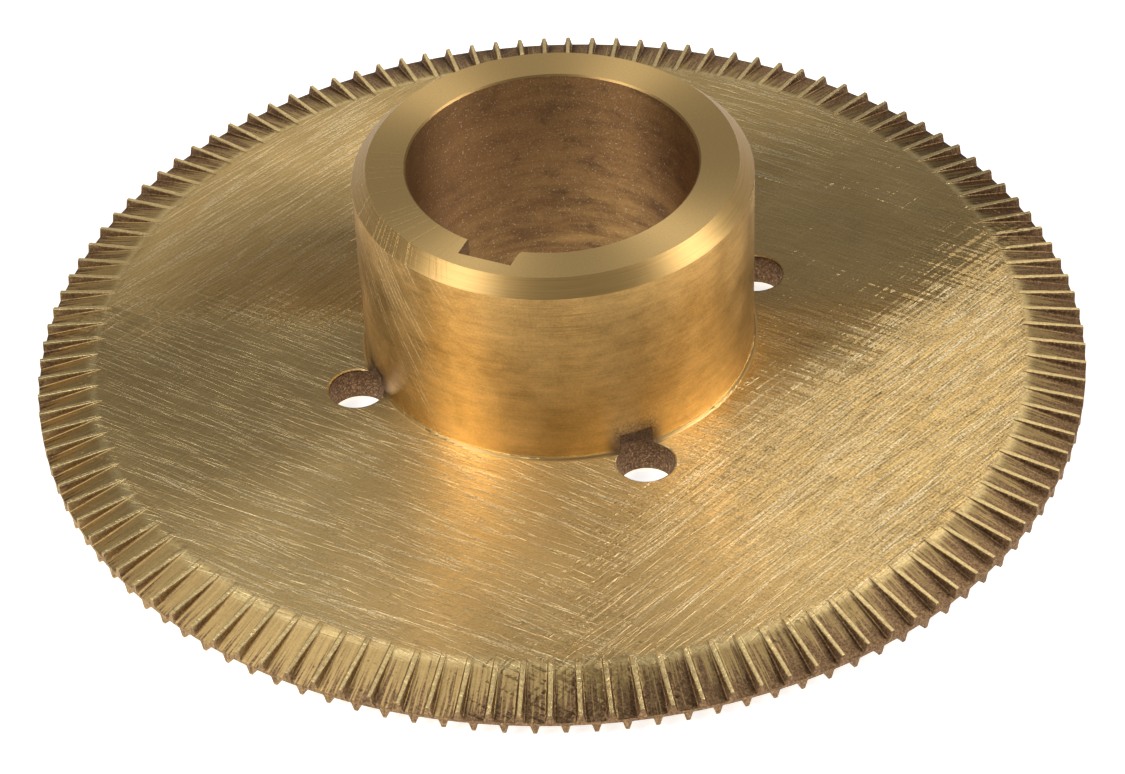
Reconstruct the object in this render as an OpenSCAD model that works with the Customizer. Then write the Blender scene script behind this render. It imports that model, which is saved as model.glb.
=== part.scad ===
// Face-toothed brass worm wheel: a thin disc with radial teeth on both
// faces of its rim, and a keyed hub pressed through its centre.
// Millimetres. The origin is the centre of the disc's back face, +Z runs
// along the bore towards the hub's nose, and the keyway opens towards -Y.

/* [Disc] */
// Outside diameter over the teeth
wheel_d = 94; // [90:0.5:100]
// Thickness of the flat disc
disc_t = 3.2; // [2.8:0.1:4]
// Thickness of the rim at the tooth tips
rim_t = 2.1; // [1.8:0.1:2.4]

/* [Teeth] */
// Number of teeth on each face
teeth = 120; // [90:1:120]
// Length of a tooth along the radius
tooth_len = 5.6; // [4:0.1:6]
// Width of a tooth's crest at its tip
crest_w = 0.32; // [0.25:0.01:0.4]
// Slope of a tooth's side from upright, in degrees
side_angle = 14.5; // [10:0.5:16]
// Thickness of the web left between the two rows at the outer edge
web_t = 0.34; // [0.3:0.02:0.5]
// Turn of the upper row of teeth from the keyway, in degrees
tooth_phase = 0.67; // [0:0.01:3]

/* [Hub] */
// Outside diameter of the hub
hub_d = 34.9; // [34.5:0.1:35.4]
// Height of the hub above the disc
hub_rise = 19; // [12:0.5:25]
// Diameter of the spigot that is pressed into the disc
spigot_d = 31; // [30.4:0.1:31.4]
// Chamfer on the hub's nose
nose_chamfer = 1.3; // [0.5:0.1:1.8]
// Radius of the fillet at the hub's foot
foot_r = 0.35; // [0.2:0.05:0.6]

/* [Bore] */
// Diameter of the bore
bore_d = 25.4; // [24:0.1:26]
// Width of the keyway
key_w = 4.76; // [3:0.01:5]
// Radius worn on one corner of the keyway's mouth
key_corner_r = 0.8; // [0.4:0.1:0.8]
// Distance from the bore's axis to the keyway's floor
key_reach = 14.6; // [13.5:0.1:14.7]

/* [Holes] */
// Diameter of each hole beside the hub
hole_d = 5; // [4:0.1:5]
// Diameter of the circle that the holes lie on
hole_pcd = 38.8; // [38:0.1:39.5]
// Chamfer at the mouth of each hole
hole_chamfer = 0.2; // [0.1:0.05:0.3]

/* [Hidden] */
$fn = 96;
eps = 0.5;

wheel_r = wheel_d / 2;
pitch_angle = 360 / teeth;
disc_mid = disc_t / 2;
rim_drop = (disc_t - rim_t) / 2;
bevel_len = tooth_len - 0.4;
groove_start_r = wheel_r - tooth_len;
floor_drop = disc_mid - web_t / 2;
floor_tilt = atan(floor_drop / tooth_len);
tip_depth = (floor_drop - rim_drop) * cos(floor_tilt);
floor_w = PI * wheel_d / teeth - crest_w - 2 * tip_depth * tan(side_angle);
cutter_h = tip_depth + 0.2;

total_h = disc_t + hub_rise;
hole_count = 4;
hole_start = 45;
hole_r = hole_d / 2;
// The holes are drilled from the back and stop just inside the hub's foot
drill_past = 1.1;
drill_point = 118;
back_chamfer = 0.4;
nose_break = 0.15;
spigot_chamfer = 0.25;

// A prism along +X whose section is a groove: a flat floor and sloped sides
module groove_prism() {
    spread = cutter_h * tan(side_angle);
    rotate([90, 0, 90])
        linear_extrude(tooth_len / cos(floor_tilt) + 2 * eps)
            polygon([
                [-floor_w / 2, 0], [floor_w / 2, 0],
                [floor_w / 2 + spread, cutter_h], [-floor_w / 2 - spread, cutter_h]
            ]);
}

// The spaces between the teeth of one face; the floor of each one falls
// from the flat face to the middle of the rim
module tooth_spaces(phase) {
    for (i = [0 : teeth - 1])
        rotate(phase + (i + 0.5) * pitch_angle)
            translate([groove_start_r, 0, disc_t])
                rotate([0, floor_tilt, 0])
                    translate([-eps, 0, 0])
                        groove_prism();
}

module at_holes() {
    for (i = [0 : hole_count - 1])
        rotate(hole_start + i * 360 / hole_count)
            translate([hole_pcd / 2, 0, 0])
                children();
}

// One drill, run up from the back face to its point
module drill() {
    translate([0, 0, -1])
        cylinder(r = hole_r, h = disc_t + drill_past + 1, $fn = 48);
    translate([0, 0, disc_t + drill_past])
        cylinder(r1 = hole_r, r2 = 0, h = hole_r / tan(drill_point / 2), $fn = 48);
}

// The flat disc, its bevelled rim and the seat for the hub's spigot
module disc_blank() {
    rotate_extrude($fn = 240)
        polygon([
            [spigot_d / 2, 0],
            [wheel_r - bevel_len, 0],
            [wheel_r, rim_drop],
            [wheel_r, disc_t - rim_drop],
            [wheel_r - bevel_len, disc_t],
            [spigot_d / 2, disc_t]
        ]);
}

// The break at a hole's mouth, kept clear of the hub's foot
module hole_mouths() {
    difference() {
        at_holes()
            translate([0, 0, disc_t - hole_chamfer])
                cylinder(r1 = hole_r, r2 = hole_r + hole_chamfer, h = hole_chamfer, $fn = 48);
        cylinder(r = hub_d / 2 + foot_r, h = disc_t + 1);
    }
}

module toothed_disc() {
    color([0.72, 0.58, 0.30])
        difference() {
            disc_blank();
            tooth_spaces(tooth_phase);
            // The lower row is the upper row turned over and half a pitch on
            translate([0, 0, disc_t])
                mirror([0, 0, 1])
                    tooth_spaces(tooth_phase + pitch_angle / 2);
            at_holes()
                translate([0, 0, -1])
                    cylinder(r = hole_r, h = disc_t + 2, $fn = 48);
            hole_mouths();
        }
}

// The turned outside of the hub, from the spigot's end to the nose
module hub_blank() {
    rotate_extrude()
        polygon([
            [0, 0],
            [spigot_d / 2 - spigot_chamfer, 0],
            [spigot_d / 2, spigot_chamfer],
            [spigot_d / 2, disc_t],
            [hub_d / 2, disc_t],
            [hub_d / 2, total_h - nose_chamfer],
            [hub_d / 2 - nose_chamfer, total_h],
            [0, total_h]
        ]);
}

// The small fillet where the hub's wall meets the disc
module foot_fillet() {
    rotate_extrude()
        difference() {
            translate([hub_d / 2 - eps, disc_t])
                square([foot_r + eps, foot_r]);
            translate([hub_d / 2 + foot_r, disc_t + foot_r])
                circle(r = foot_r, $fn = 48);
        }
}

module bore_cut() {
    translate([0, 0, -1])
        cylinder(d = bore_d, h = total_h + 2);
    translate([0, 0, -1])
        cylinder(r1 = bore_d / 2 + back_chamfer + 1, r2 = bore_d / 2, h = back_chamfer + 1);
    translate([0, 0, total_h - nose_break])
        cylinder(r1 = bore_d / 2, r2 = bore_d / 2 + nose_break + 1, h = nose_break + 1);
}

// A square-cornered slot down one side of the bore
module keyway_cut() {
    translate([-key_w / 2, -key_reach, -1])
        cube([key_w, key_reach, total_h + 2]);
}

// The round-over where the bore runs into the keyway's +X wall
module keyway_corner_cut() {
    reach = bore_d / 2 + key_corner_r;
    x = key_w / 2 + key_corner_r;
    y = -sqrt(reach * reach - x * x);
    on_bore = bore_d / 2 / reach;
    translate([0, 0, -1])
        linear_extrude(total_h + 2)
            difference() {
                polygon([[0, y], [x, y], [x * on_bore, y * on_bore], [0, y * on_bore]]);
                translate([x, y])
                    circle(r = key_corner_r, $fn = 48);
            }
}

module hub() {
    color([0.76, 0.56, 0.27])
        difference() {
            union() {
                hub_blank();
                foot_fillet();
            }
            bore_cut();
            keyway_cut();
            keyway_corner_cut();
            at_holes() drill();
        }
}

toothed_disc();
hub();
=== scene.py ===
"""Looks of a brass worm wheel: a face-toothed disc on a keyed hub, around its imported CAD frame."""

from math import asin, atan, cos, hypot, pi, radians, sin, sqrt, tan

import bpy
import numpy as np
from mathutils import Matrix, Vector
from mathutils.geometry import delaunay_2d_cdt


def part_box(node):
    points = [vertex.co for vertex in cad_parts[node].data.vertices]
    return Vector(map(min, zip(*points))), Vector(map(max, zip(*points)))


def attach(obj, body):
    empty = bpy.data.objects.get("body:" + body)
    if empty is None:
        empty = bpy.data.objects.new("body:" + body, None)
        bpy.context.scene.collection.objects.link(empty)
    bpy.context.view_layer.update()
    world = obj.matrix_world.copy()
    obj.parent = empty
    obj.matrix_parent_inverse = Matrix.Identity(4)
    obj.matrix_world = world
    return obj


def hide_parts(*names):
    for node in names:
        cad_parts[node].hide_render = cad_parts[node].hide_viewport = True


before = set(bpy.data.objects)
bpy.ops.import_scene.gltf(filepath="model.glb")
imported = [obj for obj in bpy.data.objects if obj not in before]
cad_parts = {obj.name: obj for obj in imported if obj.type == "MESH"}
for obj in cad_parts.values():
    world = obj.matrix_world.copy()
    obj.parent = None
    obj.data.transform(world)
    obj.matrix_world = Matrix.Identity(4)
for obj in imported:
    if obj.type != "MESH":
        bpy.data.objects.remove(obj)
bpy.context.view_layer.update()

MM = 0.001
rng = np.random.default_rng(7)

# ---------------------------------------------------------------- sizes, in millimetres
disc_low, disc_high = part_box("toothed_disc")
WHEEL_R = (disc_high.x - disc_low.x) / 2 / MM
DISC_T = (disc_high.z - disc_low.z) / MM
HUB_R = 17.45
RIM_T = 2.1
TEETH = 120
PITCH = 2 * pi / TEETH
TOOTH_PHASE = radians(0.67)
TOOTH_LEN = 5.6
BEVEL_LEN = TOOTH_LEN - 0.4
CREST_W = 0.32
SIDE_ANGLE = radians(14.5)
WEB_T = 0.34
SPIGOT_R = 15.5
HOLE_R = 2.5
HOLE_CIRCLE_R = 19.4
HOLE_AZIMUTHS = [radians(45 + 90 * i) for i in range(4)]
NOTCH_TOP = 5.2

# ---------------------------------------------------------------- camera
VIEW_TURN = radians(24.34)
CAMERA_PLACE = Vector((0.0, -218.77, 185.18)) * MM
CAMERA_TILT = radians(40.80)
CAMERA_ROLL = radians(2.61)
LENS_MM = 101.0
SENSOR_MM = 36.0


def turned(vector):
    """The same vector turned from the photographed front to the part's own axes."""
    return Matrix.Rotation(VIEW_TURN, 3, "Z") @ Vector(vector)


def add_camera():
    """The photograph's own view, from the front and above, rolled a little."""
    data = bpy.data.cameras.new("camera")
    data.lens = LENS_MM
    data.sensor_width = SENSOR_MM
    camera = bpy.data.objects.new("camera", data)
    bpy.context.scene.collection.objects.link(camera)
    ahead = Vector((0, cos(CAMERA_TILT), -sin(CAMERA_TILT)))
    level = Vector((1, 0, 0))
    above = level.cross(ahead)
    right = level * cos(CAMERA_ROLL) - above * sin(CAMERA_ROLL)
    up = level * sin(CAMERA_ROLL) + above * cos(CAMERA_ROLL)
    axes = Matrix([turned(right), turned(up), turned(-ahead)]).transposed()
    camera.matrix_world = Matrix.Translation(turned(CAMERA_PLACE)) @ axes.to_4x4()
    bpy.context.scene.camera = camera


add_camera()


# ---------------------------------------------------------------- studio
# Metres and watts
BOX_DISTANCE = 0.6
BOX_WIDTH = 0.25
BOX_HEIGHT = 0.34
BOX_WATTS = 1.9
BOX_TARGET = Vector((0, 0, 0.008))
FLOOR_REACH = 3.0
FLOOR_GAP = 0.0002
FLOOR_GLOW = 0.75
SKY_STRENGTH = 0.27


def add_softbox(name, azimuth, elevation):
    """A soft box that faces the wheel; azimuth 0 is the photograph's right, -90 its front."""
    data = bpy.data.lights.new(name, "AREA")
    data.shape = "RECTANGLE"
    data.size = BOX_WIDTH
    data.size_y = BOX_HEIGHT
    data.energy = BOX_WATTS
    light = bpy.data.objects.new(name, data)
    bpy.context.scene.collection.objects.link(light)
    az, el = radians(azimuth), radians(elevation)
    towards = turned((cos(az) * cos(el), sin(az) * cos(el), sin(el)))
    light.location = BOX_TARGET + towards * BOX_DISTANCE
    light.rotation_euler = towards.to_track_quat("Z", "Y").to_euler()


def add_floor():
    """A pale floor just under the wheel, which glows so that it shows as white."""
    mesh = bpy.data.meshes.new("floor")
    reach = FLOOR_REACH
    corners = [(-reach, -reach, 0), (reach, -reach, 0), (reach, reach, 0), (-reach, reach, 0)]
    mesh.from_pydata(corners, [], [(0, 1, 2, 3)])
    floor = bpy.data.objects.new("floor", mesh)
    bpy.context.scene.collection.objects.link(floor)
    floor.location.z = disc_low.z - FLOOR_GAP
    material = bpy.data.materials.new("pale_floor")
    material.use_nodes = True
    shader = material.node_tree.nodes["Principled BSDF"]
    shader.inputs["Base Color"].default_value = (0.9, 0.9, 0.9, 1)
    shader.inputs["Roughness"].default_value = 0.8
    shader.inputs["Emission Color"].default_value = (1, 1, 1, 1)
    shader.inputs["Emission Strength"].default_value = FLOOR_GLOW
    mesh.materials.append(material)


def set_world():
    """Even white light from all round, and plain colours with no film look."""
    world = bpy.data.worlds.new("studio")
    world.use_nodes = True
    background = world.node_tree.nodes["Background"]
    background.inputs["Color"].default_value = (1, 1, 1, 1)
    background.inputs["Strength"].default_value = SKY_STRENGTH
    bpy.context.scene.world = world
    bpy.context.scene.view_settings.view_transform = "Standard"


add_floor()
set_world()
add_softbox("left_softbox", -150, 41)
add_softbox("right_softbox", -6, 35)


# ---------------------------------------------------------------- the toothed disc's mesh
DISC_MID = DISC_T / 2
RIM_DROP = (DISC_T - RIM_T) / 2
FLOOR_DROP = DISC_MID - WEB_T / 2
BEVEL_R = WHEEL_R - BEVEL_LEN
GROOVE_R = WHEEL_R - TOOTH_LEN
FACE_MARGIN = 0.5
FACE_R = GROOVE_R - FACE_MARGIN
FLOOR_TILT = atan(FLOOR_DROP / TOOTH_LEN)
TIP_DEPTH = (FLOOR_DROP - RIM_DROP) * cos(FLOOR_TILT)
FLOOR_W = 2 * pi * WHEEL_R / TEETH - CREST_W - 2 * TIP_DEPTH * tan(SIDE_ANGLE)

# How the teeth are rounded; a corner takes at most a set share of the lines beside it
ROOT_FILLET = 0.11
END_ROUND = 0.04
ARC_STEPS = 2
LEAST_REACH = 0.01
GREATEST_SHARE = 0.45
LEAST_RUN = 0.03

# How much one tooth may differ from the next
START_SCATTER = (-0.28, 0.22)
CREST_DROP = 0.05
CREST_ROUND = (0.05, 0.09)
DIP_DEPTH = 0.03

# Radii of the sections through a tooth, and half the height of the plain band round the rim
BAND_HALF = 0.07
NEAR_START = np.linspace(GROOVE_R - 0.35, BEVEL_R, 6)
ALONG_TOOTH = np.linspace(BEVEL_R + 0.5, WHEEL_R - 0.2, 6)
TOOTH_STATIONS = [FACE_R, *NEAR_START, *ALONG_TOOTH, WHEEL_R - END_ROUND]
END_STEPS = [radians(a) for a in (30, 60, 90)]


def round_corner(before, corner, after, radius):
    """Points and outward normals of a rounded corner; the material lies below the line."""
    first, second = corner - before, after - corner
    len_1, len_2 = hypot(*first), hypot(*second)
    first, second = first / len_1, second / len_2
    turn = np.arccos(np.clip(first @ second, -1, 1))
    reach = min(max(radius * tan(turn / 2), LEAST_REACH), GREATEST_SHARE * len_1, GREATEST_SHARE * len_2)
    points, normals = [], []
    for step in range(ARC_STEPS + 1):
        share = step / ARC_STEPS
        points.append(corner - first * reach * (1 - share) ** 2 + second * reach * share**2)
        along = first * (1 - share) + second * share
        normals.append(np.array([-along[1], along[0]]) / hypot(*along))
    return points, normals


def half_profile(radius, start_r, crest_drop, crest_round):
    """Section across half a pitch, from a groove's middle to a crest's middle: its points and normals."""
    share = max(radius - start_r, 0) / (WHEEL_R - start_r)
    floor = DISC_T - FLOOR_DROP * share
    crest = DISC_T - RIM_DROP * max(radius - BEVEL_R, 0) / BEVEL_LEN
    crest -= crest_drop * min(max(radius - start_r, 0), 1)
    wall_h = max(crest - floor, 0)
    run = max(wall_h * tan(SIDE_ANGLE), LEAST_RUN)
    middle = np.array([0, floor])
    root = np.array([FLOOR_W / 2, floor])
    edge = np.array([FLOOR_W / 2 + run, floor + wall_h])
    top = np.array([radius * sin(PITCH / 2), floor + wall_h])
    root_points, root_normals = round_corner(middle, root, edge, ROOT_FILLET)
    edge_points, edge_normals = round_corner(root, edge, top, crest_round)
    up = np.array([0.0, 1.0])
    across = root_points[0] - middle
    points = [middle, middle + across * 0.4, middle + across * 0.8]
    points += root_points + [(root_points[-1] + edge_points[0]) / 2] + edge_points
    points += [(edge_points[-1] + top) / 2, top]
    normals = [up] * 3 + root_normals + [root_normals[-1]] + edge_normals + [up] * 2
    return np.array(points), np.array(normals)


# half_profile gives 3 points on the floor, two corners, 1 on the wall and 2 on the crest;
# the last one is shared with the next half
HALF_COLUMNS = 3 + 2 * (ARC_STEPS + 1) + 1 + 2 - 1
COLUMNS = 2 * HALF_COLUMNS


def tooth_row(phase):
    """A grid of (stations, columns, xyz) for one row of teeth, with the teeth pointing up."""
    starts = GROOVE_R + rng.uniform(*START_SCATTER, TEETH)
    drops = rng.uniform(0.0, CREST_DROP, TEETH)
    rounds = rng.uniform(*CREST_ROUND, TEETH)
    dips = rng.uniform(0, 1, (TEETH, 3))
    rings = []
    stations = [(r, 0.0) for r in TOOTH_STATIONS]
    stations += [(WHEEL_R - END_ROUND + END_ROUND * sin(a), END_ROUND * (1 - cos(a))) for a in END_STEPS]
    for radius, shrink in stations:
        ring = []
        for i in range(TEETH):
            wave = sin(radius * (2.1 + dips[i, 0]) + 6.3 * dips[i, 1])
            drop = drops[i] + DIP_DEPTH * dips[i, 2] * max(wave, 0)
            left = half_profile(radius, starts[i], drop, rounds[i])
            right = half_profile(radius, starts[(i + 1) % TEETH], drop, rounds[i])
            centre = phase + (i + 0.5) * PITCH
            for (points, normals), middle, side in ((left, centre, 1), (right, centre + PITCH, -1)):
                moved = points - normals * shrink
                order = range(HALF_COLUMNS) if side == 1 else range(HALF_COLUMNS, 0, -1)
                for k in order:
                    turn = asin(moved[k][0] / radius) if radius > FACE_R else k * PITCH / COLUMNS
                    angle = middle + side * turn
                    ring.append((radius * cos(angle), radius * sin(angle), moved[k][1]))
        rings.append(ring)
    return np.array(rings)


class MeshParts:
    """Vertices, faces and sharp edges gathered for one mesh, in millimetres."""

    def __init__(self):
        self.points = []
        self.faces = []
        self.sharp = set()

    def add_points(self, points):
        first = len(self.points)
        self.points.extend(tuple(p) for p in points)
        return np.arange(first, len(self.points))

    def bridge(self, ring_a, ring_b, flip=False):
        """Quads between two closed rings of the same length."""
        count = len(ring_a)
        for i in range(count):
            j = (i + 1) % count
            quad = (ring_a[i], ring_a[j], ring_b[j], ring_b[i])
            self.faces.append(tuple(int(v) for v in (quad[::-1] if flip else quad)))

    def mark_sharp(self, ring):
        """Keep the edges of a closed ring sharp under smooth shading."""
        for a, b in zip(ring, np.roll(ring, -1)):
            self.sharp.add(tuple(sorted((int(a), int(b)))))

    def build(self, name):
        """The finished object, in the scene."""
        mesh = bpy.data.meshes.new(name)
        mesh.from_pydata([tuple(c * MM for c in p) for p in self.points], [], self.faces)
        mesh.validate()
        mesh.shade_smooth()
        sharp = mesh.attributes.new("sharp_edge", "BOOLEAN", "EDGE")
        keys = [tuple(sorted(edge.vertices)) in self.sharp for edge in mesh.edges]
        sharp.data.foreach_set("value", keys)
        piece = bpy.data.objects.new(name, mesh)
        bpy.context.scene.collection.objects.link(piece)
        weighted = piece.modifiers.new("flat_faces_stay_flat", "WEIGHTED_NORMAL")
        weighted.keep_sharp = True
        return piece


HOLE_STEPS = 64
SEAT_STEPS = 192
MOUTH_BREAK = 0.2
BACK_BREAK = 0.12

# The break at a hole's mouth fades out where the hub's foot stands beside it
HUB_CLEARANCE = 0.3
FADE_WIDTH = 0.6
LEAST_FADE = 0.05


def ring_points(centre, radii, heights):
    """Evenly turned points round a centre, each with its own radius and height."""
    angles = np.arange(len(radii)) * 2 * pi / len(radii)
    flat = [centre[0] + radii * np.cos(angles), centre[1] + radii * np.sin(angles)]
    return np.column_stack([*flat, np.broadcast_to(heights, len(radii))])


def add_hole(parts, azimuth):
    """One drilled hole with broken edges; returns its rings on the upper and lower faces."""
    centre = (HOLE_CIRCLE_R * cos(azimuth), HOLE_CIRCLE_R * sin(azimuth))
    plain = np.full(HOLE_STEPS, HOLE_R)
    rim = ring_points(centre, plain, np.zeros(HOLE_STEPS))
    clear = np.hypot(rim[:, 0], rim[:, 1]) - HUB_R - HUB_CLEARANCE
    clear = np.clip(clear / FADE_WIDTH, LEAST_FADE, 1)
    rings = []
    for share in (0, 0.3, 0.65, 1):
        lift = MOUTH_BREAK * clear
        radii = plain + lift * (1 - sqrt(max(1 - (1 - share) ** 2, 0)))
        rings.append(parts.add_points(ring_points(centre, radii, DISC_T - lift * share)))
    for share in (1, 0.5, 0):
        radii = plain + BACK_BREAK * (1 - share)
        rings.append(parts.add_points(ring_points(centre, radii, np.full(HOLE_STEPS, BACK_BREAK * share))))
    for upper, lower in zip(rings, rings[1:]):
        parts.bridge(upper, lower)
    parts.mark_sharp(rings[0])
    parts.mark_sharp(rings[-1])
    return rings[0], rings[-1]


def fill_flat(parts, outer, openings, facing_up):
    """The flat face between the teeth, the hub's seat and the holes."""
    rings = [outer] + openings
    index = np.concatenate(rings)
    ring_of = np.concatenate([np.full(len(ring), i) for i, ring in enumerate(rings)])
    edges, first = [], 0
    for ring in rings:
        count = len(ring)
        edges += [(first + i, first + (i + 1) % count) for i in range(count)]
        first += count
    flat = [Vector(parts.points[v][:2]) for v in index]
    _, _, triangles, source, _, _ = delaunay_2d_cdt(flat, edges, [], 1, 1e-6)
    for triangle in triangles:
        corners = [source[v][0] for v in triangle]
        touched = {ring_of[c] for c in corners}
        if len(touched) == 1 and touched != {0}:
            continue
        face = [int(index[c]) for c in corners]
        parts.faces.append(tuple(face if facing_up else face[::-1]))


def toothed_disc_piece():
    """The whole disc as one closed mesh: two rows of teeth, the rim, the seat and the holes."""
    parts = MeshParts()
    upper = tooth_row(TOOTH_PHASE)
    lower = tooth_row(TOOTH_PHASE + PITCH / 2)
    lower[:, :, 2] = DISC_T - lower[:, :, 2]
    upper_rings = [parts.add_points(ring) for ring in upper]
    lower_rings = [parts.add_points(ring) for ring in lower]
    for rings, flip in ((upper_rings, True), (lower_rings, False)):
        for inner, outer in zip(rings, rings[1:]):
            parts.bridge(inner, outer, flip)
        parts.mark_sharp(rings[0])
    bands = []
    for row, lift in ((upper[-1], BAND_HALF), (lower[-1], -BAND_HALF)):
        band = row.copy()
        band[:, 2] = DISC_MID + lift
        bands.append(parts.add_points(band))
    shift = HALF_COLUMNS
    parts.bridge(upper_rings[-1], bands[0], True)
    parts.bridge(bands[0], np.roll(bands[1], shift), True)
    parts.bridge(bands[1], lower_rings[-1], True)
    seats = []
    for height in (DISC_T, 0.0):
        seats.append(parts.add_points(ring_points((0, 0), np.full(SEAT_STEPS, SPIGOT_R), height)))
        parts.mark_sharp(seats[-1])
    parts.bridge(seats[0], seats[1])
    mouths = [add_hole(parts, azimuth) for azimuth in HOLE_AZIMUTHS]
    fill_flat(parts, upper_rings[0], [seats[0]] + [m[0] for m in mouths], True)
    fill_flat(parts, lower_rings[0], [seats[1]] + [m[1] for m in mouths], False)
    return parts.build("linished_disc")


# ---------------------------------------------------------------- materials
# Sockets of a Mix node that mixes colours
MIX_SHARE = 0
MIX_A = 6
MIX_B = 7
MIX_RESULT = 2
SEED_STEP = 9.7


class Nodes:
    """A short hand for building one material's node tree; lengths are in millimetres."""

    def __init__(self, name):
        self.material = bpy.data.materials.new(name)
        self.material.use_nodes = True
        self.tree = self.material.node_tree
        self.shader = self.tree.nodes["Principled BSDF"]
        coords = self.tree.nodes.new("ShaderNodeTexCoord").outputs
        self.place = self.vector_math("SCALE", coords["Object"], scale=1 / MM)
        self.normal = coords["Normal"]
        self.x, self.y, self.z = self.split(self.place)
        self.radius = self.math("SQRT", self.add(self.mul(self.x, self.x), self.mul(self.y, self.y)))
        self.azimuth = self.math("ARCTAN2", self.y, self.x)

    def link(self, value, socket):
        if isinstance(value, bpy.types.NodeSocket):
            self.tree.links.new(value, socket)
        else:
            socket.default_value = value

    def link_colour(self, value, socket):
        self.link((*value, 1) if isinstance(value, tuple) else value, socket)

    def math(self, operation, a, b=0.0, c=0.0, clamp=False):
        node = self.tree.nodes.new("ShaderNodeMath")
        node.operation = operation
        node.use_clamp = clamp
        for value, socket in zip((a, b, c), node.inputs):
            self.link(value, socket)
        return node.outputs[0]

    def add(self, a, b):
        return self.math("ADD", a, b)

    def sub(self, a, b):
        return self.math("SUBTRACT", a, b)

    def mul(self, a, b):
        return self.math("MULTIPLY", a, b)

    def invert(self, a):
        return self.math("SUBTRACT", 1.0, a)

    def most(self, a, b):
        return self.math("MAXIMUM", a, b)

    def vector_math(self, operation, a, b=None, scale=None):
        node = self.tree.nodes.new("ShaderNodeVectorMath")
        node.operation = operation
        self.link(a, node.inputs[0])
        if b is not None:
            self.link(b, node.inputs[1])
        if scale is not None:
            self.link(scale, node.inputs["Scale"])
        return node.outputs[0]

    def split(self, vector):
        node = self.tree.nodes.new("ShaderNodeSeparateXYZ")
        self.link(vector, node.inputs[0])
        return node.outputs

    def join(self, x, y, z):
        node = self.tree.nodes.new("ShaderNodeCombineXYZ")
        for value, socket in zip((x, y, z), node.inputs):
            self.link(value, socket)
        return node.outputs[0]

    def ramp(self, value, low, high, start=0.0, end=1.0):
        """A smooth step from start to end while value goes from low to high."""
        node = self.tree.nodes.new("ShaderNodeMapRange")
        node.interpolation_type = "SMOOTHSTEP"
        for number, socket in zip((value, low, high, start, end), node.inputs):
            self.link(number, socket)
        return node.outputs[0]

    def ramp_linear(self, value, low, high):
        """Goes evenly from 0 to 1 while value goes from low to high."""
        return self.math("DIVIDE", self.sub(value, low), high - low, clamp=True)

    def noise(self, vector, scale, detail, rough):
        node = self.tree.nodes.new("ShaderNodeTexNoise")
        self.link(vector, node.inputs["Vector"])
        node.inputs["Scale"].default_value = scale
        node.inputs["Detail"].default_value = detail
        node.inputs["Roughness"].default_value = rough
        return node.outputs[0]

    def noise_at(self, a, b, c, detail, rough):
        """Noise over three coordinates that were each stretched by hand."""
        return self.noise(self.join(a, b, c), 1.0, detail, rough)

    def between(self, share, a, b):
        """The number a where share is 0 and b where it is 1."""
        return self.add(self.mul(a, self.invert(share)), self.mul(b, share))

    def mix(self, share, a, b):
        """The colour a where share is 0 and b where it is 1."""
        node = self.tree.nodes.new("ShaderNodeMix")
        node.data_type = "RGBA"
        for value, place in ((share, MIX_SHARE), (a, MIX_A), (b, MIX_B)):
            self.link_colour(value, node.inputs[place])
        return node.outputs[MIX_RESULT]

    def bump(self, height, distance_mm, strength):
        node = self.tree.nodes.new("ShaderNodeBump")
        node.inputs["Strength"].default_value = strength
        node.inputs["Distance"].default_value = distance_mm * MM
        self.link(height, node.inputs["Height"])
        return node.outputs[0]

    def tint(self, colour, factor):
        """The colour made lighter or darker by a factor."""
        node = self.tree.nodes.new("ShaderNodeMix")
        node.data_type = "RGBA"
        node.blend_type = "MULTIPLY"
        node.inputs[MIX_SHARE].default_value = 1
        self.link_colour(colour, node.inputs[MIX_A])
        self.link(self.join(factor, factor, factor), node.inputs[MIX_B])
        return node.outputs[MIX_RESULT]

    def along_heading(self, heading, along, across, seed):
        """Noise drawn out along one straight heading, as scratches are."""
        u = self.add(self.mul(self.x, cos(heading)), self.mul(self.y, sin(heading)))
        v = self.sub(self.mul(self.y, cos(heading)), self.mul(self.x, sin(heading)))
        return self.noise_at(self.mul(u, along), self.mul(v, across), seed, 2, 0.6)

    def follows(self, angle, heading, power, least):
        """1 where the strokes run along the heading, falling to the least value across it."""
        turn = self.math("ABSOLUTE", self.math("COSINE", self.sub(angle, heading)))
        return self.add(least, self.mul(self.math("POWER", turn, power), 1 - least))

    def strokes(self, headings, along, across, seed, angle):
        """Close, even scratches, above and below zero."""
        total = 0.0
        for i, heading in enumerate(headings):
            heading = radians(heading) + VIEW_TURN
            noise = self.along_heading(heading, along, across, seed + SEED_STEP * i)
            weight = self.follows(angle, heading, 3.0, 0.2)
            total = self.add(total, self.mul(self.sub(noise, 0.5), weight))
        return total

    def lone_lines(self, headings, along, across, seed, angle, low, high):
        """Separate long scratches, from 0 to 1."""
        total = 0.0
        for i, heading in enumerate(headings):
            heading = radians(heading) + VIEW_TURN
            noise = self.along_heading(heading, along, across, seed + SEED_STEP * i)
            weight = self.follows(angle, heading, 10.0, 0.15)
            total = self.add(total, self.mul(self.ramp(noise, low, high), weight))
        return self.math("MINIMUM", total, 1.0)

    def finish(self, colour, roughness, anisotropy, tangent, normal):
        """Join the values to the shader as polished, grained metal."""
        self.link(colour, self.shader.inputs["Base Color"])
        self.link(roughness, self.shader.inputs["Roughness"])
        self.link(tangent, self.shader.inputs["Tangent"])
        self.link(normal, self.shader.inputs["Normal"])
        self.shader.inputs["Metallic"].default_value = 1
        self.shader.inputs["Anisotropic"].default_value = anisotropy
        return self.material


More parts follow.
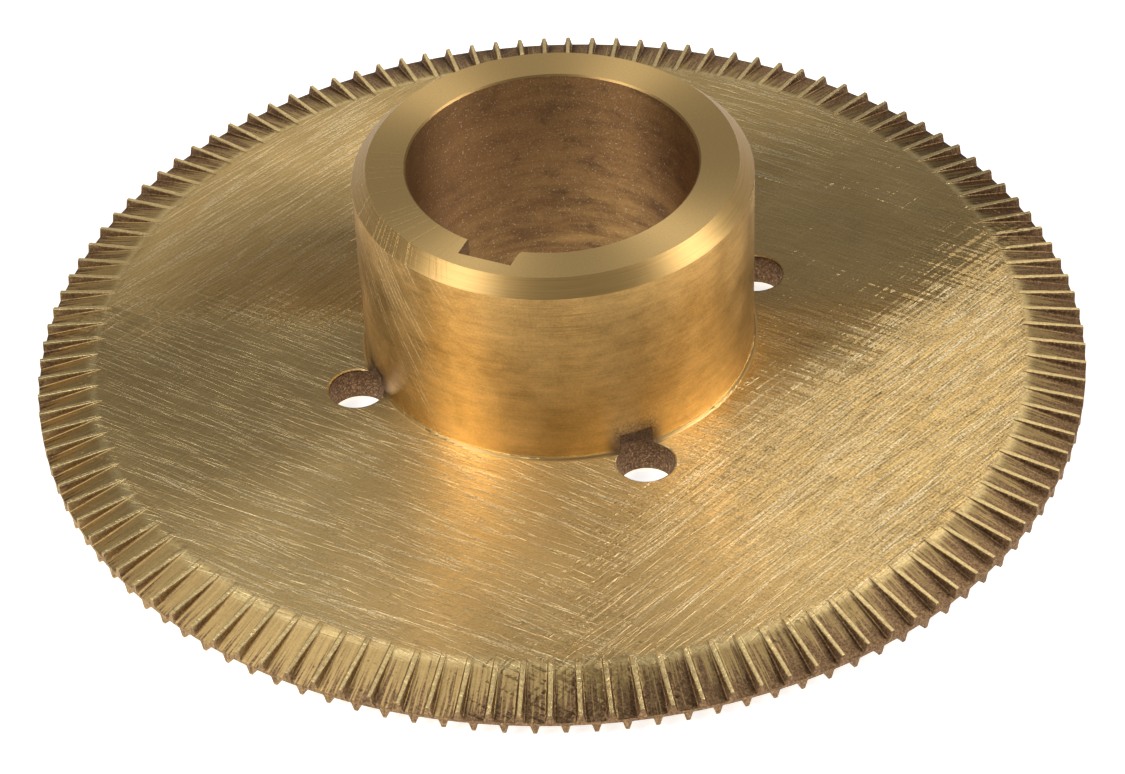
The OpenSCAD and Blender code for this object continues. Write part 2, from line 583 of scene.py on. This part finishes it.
# Colours of the metal and of the patina on it; the bare brass colour also serves for painted glints
BRASS = (0.74, 0.515, 0.215)
BRASS_TURNED = (0.67, 0.425, 0.155)
BARE_BRASS_AND_GLINT = (1.0, 0.87, 0.58)
BRASS_CREST = (0.92, 0.70, 0.33)
PATINA = (0.34, 0.20, 0.105)
PATINA_DARK = (0.13, 0.075, 0.042)
BORE_BROWN = (0.42, 0.24, 0.095)
BORE_DARK = (0.27, 0.15, 0.065)
NOTCH_DARK = (0.05, 0.03, 0.018)


def hole_distance(n):
    """Distance from the axis of the nearest of the four holes."""
    quarter = pi / 2
    folded = n.sub(n.math("FLOORED_MODULO", n.azimuth, quarter), quarter / 2)
    near = n.mul(n.mul(n.radius, 2 * HOLE_CIRCLE_R), n.math("COSINE", folded))
    squared = n.sub(n.add(n.mul(n.radius, n.radius), HOLE_CIRCLE_R**2), near)
    return n.math("SQRT", n.most(squared, 0.0))


# Headings of the two families of scratches, seen from above and from the photograph's front
FIRST_STROKES = -31
LAST_STROKES = 43
HEADING_CHANGE = radians(LAST_STROKES - FIRST_STROKES)
QUIET_TURN = radians(34)
FINE_HEADINGS = (LAST_STROKES, FIRST_STROKES, LAST_STROKES + 1, FIRST_STROKES + 2)
LONG_HEADINGS = (LAST_STROKES - 3, LAST_STROKES + 3, FIRST_STROKES + 3, FIRST_STROKES - 4)


def stroke_zones(n, azimuth, patches):
    """The way the scratches run, how hard the last rubbing was (a zone whose face colour also gets a slight
    painted light), and the back left zone.
    """
    last = radians(LAST_STROKES) + VIEW_TURN
    first = last - HEADING_CHANGE
    rub_u = n.add(n.mul(n.x, cos(last)), n.mul(n.y, sin(last)))
    rub_v = n.sub(n.mul(n.y, cos(last)), n.mul(n.x, sin(last)))
    around = n.math("WRAP", azimuth, pi, -pi)
    front = n.mul(n.ramp(around, radians(-112), radians(-66)), n.ramp(rub_v, -13.0, -29.0))
    back_left = n.mul(n.ramp(around, radians(84), radians(106)), n.ramp(around, radians(184), radians(160)))
    jitter = n.sub(n.along_heading(last, 0.10, 3.0, 5.0), n.along_heading(first, 0.10, 3.0, 6.0))
    chosen = n.ramp(n.add(n.add(front, back_left), n.mul(jitter, 1.8)), 0.40, 0.60)
    right_side = n.mul(n.ramp(around, radians(-8), radians(10)), n.ramp(around, radians(62), radians(30)))
    left_side = n.ramp(n.math("COSINE", n.sub(azimuth, radians(182))), 0.72, 1.0, 0.0, 0.62)
    quiet = n.mul(n.most(right_side, left_side), n.invert(chosen))
    angle = n.add(n.mul(chosen, HEADING_CHANGE), first)
    angle = n.sub(angle, n.mul(quiet, QUIET_TURN))
    worn_and_lit = n.mul(n.ramp(n.add(rub_v, n.mul(patches, 6.0)), -8.0, -24.0), n.ramp(rub_u, -22.0, 4.0))
    return angle, worn_and_lit, back_left


def linished_face(n, fine, lines, worn_and_lit, patches, grain):
    """Colour of the flat face, with its fine scratches and grain; the long scratches are painted bright,
    partly as bare metal and partly as painted glints.
    """
    # painted glints: the long scratches, broken by the grain, are painted bright, partly as bare metal
    bright_scratches_and_glints = n.mul(lines, n.ramp(grain, 0.42, 0.56, 0.1, 1.0))
    tone = n.add(0.86, n.mul(fine, n.add(0.5, n.mul(worn_and_lit, 0.9))))
    tone = n.add(tone, n.mul(n.sub(patches, 0.5), 0.5))
    tone = n.add(tone, n.mul(n.sub(grain, 0.5), n.add(0.6, n.mul(worn_and_lit, 2.2))))
    # painted light: the zone of harder rubbing is lifted a little, where the right lamp falls
    face = n.tint(BRASS, n.add(tone, n.mul(worn_and_lit, 0.06)))
    return n.mix(bright_scratches_and_glints, face, BARE_BRASS_AND_GLINT)


def groove_patina(n, share, left_lamp_side, streaks, below, upright, azimuth, grain):
    """Brown patina between the teeth and in the holes. On the side that faces the left lamp it is thinner,
    as painted light, and the tooth walls carry painted shade as well as patina.
    """
    per_tooth = n.noise_at(n.mul(azimuth, TEETH / 5), 0.0, 7.7, 2, 0.8)
    # painted light: the patina's edge draws back on the side that faces the left lamp
    edge = n.add(0.30, n.mul(n.math("POWER", left_lamp_side, 2.0), 0.85))
    edge = n.add(edge, n.mul(n.sub(per_tooth, 0.5), 0.8))
    edge = n.add(edge, n.mul(n.sub(streaks, 0.5), 3.0))
    dirty = n.ramp(n.sub(share, edge), -0.16, 0.16)
    # patina on the steep tooth walls that is also painted shade, with less of it on the left lamp's side
    flank_patina_and_shade = n.mul(n.ramp(upright, 0.90, 0.55), n.sub(0.92, n.mul(n.mul(left_lamp_side, left_lamp_side), 0.4)))
    patina = n.most(n.mul(n.mul(below, dirty), 0.9), flank_patina_and_shade)
    in_hole = n.ramp(hole_distance(n), HOLE_R + 0.35, HOLE_R + 0.1)
    patina = n.most(patina, n.mul(in_hole, n.ramp(upright, 0.8, 0.4)))
    patina = n.mul(patina, n.ramp(grain, 0.68, 0.56, 0.4, 1.0))

    # one thin lighter line along most of the grooves, near each groove's middle, where the patina is eased
    place_in_pitch = n.math("FRACT", n.math("DIVIDE", n.sub(n.azimuth, TOOTH_PHASE), PITCH))
    line_place = n.add(0.5, n.mul(n.sub(per_tooth, 0.5), 1.6))
    line = n.ramp(n.math("ABSOLUTE", n.sub(place_in_pitch, line_place)), 0.07, 0.02)
    line = n.mul(n.mul(line, n.ramp(share, 0.95, 0.35)), n.ramp(share, 0.02, 0.08))
    return n.mul(patina, n.invert(n.mul(n.mul(line, below), 0.75)))


def disc_material():
    """Linished brass with crossing scratches, and brown patina between the teeth, with painted light and
    painted shade in the grooves.
    """
    n = Nodes("linished_brass")
    upright = n.math("ABSOLUTE", n.split(n.normal)[2])
    height = n.math("ABSOLUTE", n.sub(n.z, DISC_MID))
    bevel = n.ramp_linear(n.radius, BEVEL_R, WHEEL_R)
    depth = n.sub(n.sub(DISC_MID, n.mul(bevel, RIM_DROP)), height)
    below = n.ramp(depth, 0.08, 0.25)
    share = n.ramp_linear(n.radius, GROOVE_R, WHEEL_R)
    in_teeth = n.ramp(share, 0.02, 0.12)
    azimuth = n.sub(n.azimuth, VIEW_TURN)
    # painted light: 1 on the side of the wheel toward the left lamp, falling to 0 a quarter turn away
    left_lamp_side = n.most(n.math("COSINE", n.sub(azimuth, radians(208))), 0.0)
    patches = n.noise(n.place, 0.09, 2, 0.5)
    grain = n.noise(n.place, 5.0, 3, 0.75)
    streaks = n.noise_at(n.mul(azimuth, 230.0), n.mul(n.radius, 0.22), 1.3, 2, 0.6)

    angle, worn_and_lit, back_left = stroke_zones(n, azimuth, patches)
    fine = n.strokes(FINE_HEADINGS, 0.35, 7.0, 3.1, angle)
    lines = n.lone_lines(LONG_HEADINGS, 0.09, 4.8, 41.0, angle, 0.57, 0.65)
    lines = n.mul(lines, n.add(0.6, n.mul(worn_and_lit, 0.4)))
    face = linished_face(n, fine, lines, worn_and_lit, patches, grain)

    # the floor is painted lighter on the left lamp's side, as painted light
    floor_tone = n.add(n.add(0.24, n.mul(left_lamp_side, 0.22)), n.mul(streaks, 0.6))
    floor_tone = n.add(floor_tone, n.mul(n.sub(grain, 0.5), 0.5))
    lit_floor = n.tint(BRASS, floor_tone)
    crest = n.tint(BRASS_CREST, n.add(0.42, n.mul(grain, 1.0)))
    tooth = n.mix(below, crest, lit_floor)
    colour = n.mix(in_teeth, face, tooth)
    patina = groove_patina(n, share, left_lamp_side, streaks, below, upright, azimuth, grain)
    colour = n.mix(patina, colour, n.mix(n.ramp(grain, 0.35, 0.62), PATINA_DARK, PATINA))

    rough_zones = n.mul(n.most(worn_and_lit, n.mul(back_left, 0.5)), 0.20)
    roughness = n.add(n.add(0.42, rough_zones), n.mul(fine, -0.2))
    roughness = n.between(n.most(patina, n.mul(below, 0.6)), roughness, 0.62)
    relief = n.sub(n.mul(fine, n.add(0.8, n.mul(worn_and_lit, 0.4))), n.mul(lines, 3.0))
    relief = n.mul(relief, n.invert(n.mul(in_teeth, below)))
    relief = n.add(relief, n.mul(grain, n.most(0.10, n.most(patina, below))))
    across = n.join(n.math("SINE", angle), n.mul(n.math("COSINE", angle), -1.0), 0.0)
    return n.finish(colour, roughness, 0.85, across, n.bump(relief, 0.02, 0.9))


def turned_wall(n, around, turning, patches, grain):
    """Colour of the hub's outer wall, with a painted reflection of the disc lower down, and its slanting
    scratches on the left, painted bright partly as glints.
    """
    blotches = n.noise_at(n.mul(around, 0.5), n.mul(n.z, 1.1), 3.0, 3, 0.7)
    rows = n.noise_at(n.mul(around, 0.03), n.mul(n.z, 1.3), 4.0, 2, 0.5)
    u = n.sub(n.mul(around, 0.55), n.mul(n.z, 0.83))
    v = n.add(n.mul(n.z, 0.55), n.mul(around, 0.83))
    slant = n.noise_at(n.mul(u, 0.10), n.mul(v, 4.2), 8.0, 2, 0.6)
    scraped = n.ramp(n.math("COSINE", n.sub(n.azimuth, VIEW_TURN + radians(-158))), 0.75, 0.95)
    slant = n.mul(n.mul(n.ramp(slant, 0.56, 0.66), scraped), n.ramp(grain, 0.42, 0.60, 0.3, 1.0))

    tone = n.add(0.70, n.add(n.mul(turning, 0.4), n.mul(n.sub(patches, 0.5), 0.8)))
    tone = n.add(tone, n.add(n.mul(n.sub(rows, 0.5), 0.2), n.mul(n.sub(grain, 0.5), 0.6)))
    # painted reflection: the wall is lighter lower down, as if it mirrors the bright disc face
    tone = n.add(tone, n.add(n.mul(n.sub(blotches, 0.5), 0.6), n.mul(n.ramp(n.z, 13.0, 4.0), 0.28)))
    wall = n.tint(BRASS_TURNED, tone)
    # the slanting scratches are painted bright, partly as bare metal and partly as painted glints toward
    # the left lamp
    return n.mix(n.mul(slant, 0.6), wall, BARE_BRASS_AND_GLINT), slant


def bore_colour(n, around, grain):
    """Brown of the bore with dark clots: painted shade on its left, painted light as a glow lower down, and
    painted glints as sparkles.
    """
    bands = n.noise_at(n.mul(around, 0.07), n.mul(n.z, 0.6), 2.0, 4, 0.65)
    brown_share = n.ramp(n.add(n.mul(grain, 0.6), n.mul(bands, 0.6)), 0.45, 0.75)
    brown = n.mix(brown_share, BORE_DARK, BORE_BROWN)
    # painted light: the bore glows lighter lower down
    low_glow = n.mul(n.ramp(n.z, 17.0, 3.0), n.ramp(bands, 0.35, 0.65))
    brown = n.mix(n.mul(low_glow, 0.6), brown, BRASS_TURNED)
    clots = n.noise_at(n.mul(around, 0.22), n.mul(n.z, 0.42), 6.0, 5, 0.72)
    brown = n.mix(n.mul(n.ramp(clots, 0.46, 0.74), 0.7), brown, PATINA_DARK)
    shaded = n.ramp(n.math("COSINE", n.sub(n.azimuth, VIEW_TURN + radians(170))), 0.0, 1.0)
    brown = n.mix(n.mul(shaded, 0.5), brown, BORE_DARK)
    # painted glints: sparkles of bright brass
    sparkle = n.noise(n.place, 5.5, 2, 0.6)
    return n.mix(n.mul(n.ramp(sparkle, 0.62, 0.70), 0.45), brown, BARE_BRASS_AND_GLINT)


def notch_masks(n, grain):
    """The drilled notches in the hub's foot, and the stain round each one."""
    outside = n.ramp(n.radius, 15.9, 16.0)
    distance = hole_distance(n)
    drilled = n.mul(n.ramp(distance, HOLE_R + 0.08, HOLE_R + 0.02), n.ramp(n.z, NOTCH_TOP, NOTCH_TOP - 0.2))
    stain_edge = n.add(HOLE_R + 0.3, n.mul(grain, 2.2))
    stain_height = n.add(n.z, n.mul(n.sub(grain, 0.5), 3.0))
    stain = n.mul(n.ramp(distance, stain_edge, HOLE_R), n.ramp(stain_height, 7.2, 4.2))
    return n.mul(drilled, outside), n.mul(stain, outside)


def hub_material():
    """Turned brass outside, a satin top and chamfer, and brown in the bore and the notches, with a painted
    highlight on the foot.
    """
    n = Nodes("turned_brass")
    upward = n.split(n.normal)[2]
    around = n.mul(n.azimuth, HUB_R)
    grain = n.noise(n.place, 5.0, 3, 0.75)
    patches = n.noise(n.place, 0.16, 3, 0.55)
    turning = n.noise_at(n.mul(around, 0.14), n.mul(n.z, 7.5), n.mul(n.radius, 7.5), 3, 0.65)

    wall, slant = turned_wall(n, around, turning, patches, grain)
    foot = n.mul(n.ramp(n.z, DISC_T + 0.6, DISC_T + 0.3), n.ramp(n.radius, 17.0, 17.3))
    # painted highlight: the foot's fillet takes the bright crest colour
    wall = n.mix(n.mul(foot, 0.7), wall, BRASS_CREST)
    on_top = n.ramp(upward, 0.9, 0.97)
    chamfer = n.mul(n.ramp(upward, 0.4, 0.6), n.ramp(upward, 0.95, 0.85))
    top = n.tint(BRASS, n.add(0.95, n.mul(grain, 0.3)))
    nose = n.tint(BRASS_TURNED, n.add(0.60, n.mul(turning, 0.4)))
    colour = n.mix(chamfer, wall, nose)
    colour = n.mix(on_top, colour, top)

    inside = n.mul(n.ramp(n.radius, 15.4, 15.0), n.ramp(n.math("ABSOLUTE", upward), 0.8, 0.5))
    drilled, stain = notch_masks(n, grain)
    patina = n.most(inside, n.most(drilled, n.mul(stain, 0.85)))
    hole_brown = n.mix(n.ramp(grain, 0.35, 0.62), PATINA_DARK, PATINA)
    above_disc = n.ramp(n.z, DISC_T, DISC_T + 0.4)
    hole_brown = n.mix(n.mul(above_disc, 0.35), hole_brown, NOTCH_DARK)
    brown = n.mix(n.most(drilled, stain), bore_colour(n, around, grain), hole_brown)
    colour = n.mix(patina, colour, brown)

    roughness = n.add(0.34, n.mul(n.sub(patches, 0.5), 0.3))
    roughness = n.between(foot, roughness, 0.24)
    roughness = n.between(on_top, roughness, 0.58)
    roughness = n.between(chamfer, roughness, 0.46)
    roughness = n.between(patina, roughness, 0.52)
    relief = n.mul(turning, n.add(0.3, n.mul(n.invert(on_top), 0.7)))
    relief = n.sub(relief, n.mul(slant, n.invert(patina)))
    relief = n.add(relief, n.mul(grain, n.add(0.2, patina)))

    # the grain runs round the axis, so its broad side is outward on the top and upright on the wall
    flat = n.most(upward, 0.0)
    outward = n.vector_math("SCALE", n.join(n.x, n.y, 0.0), scale=n.math("DIVIDE", flat, n.radius))
    tangent = n.vector_math("ADD", outward, n.join(0.0, 0.0, n.invert(flat)))
    return n.finish(colour, roughness, 0.75, tangent, n.bump(relief, 0.02, 0.8))


# ---------------------------------------------------------------- the visual model
hub_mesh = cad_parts["hub"].data
hub_mesh.materials.clear()
hub_mesh.materials.append(hub_material())
disc = toothed_disc_piece()
disc.data.materials.append(disc_material())
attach(disc, "root")
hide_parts("toothed_disc")
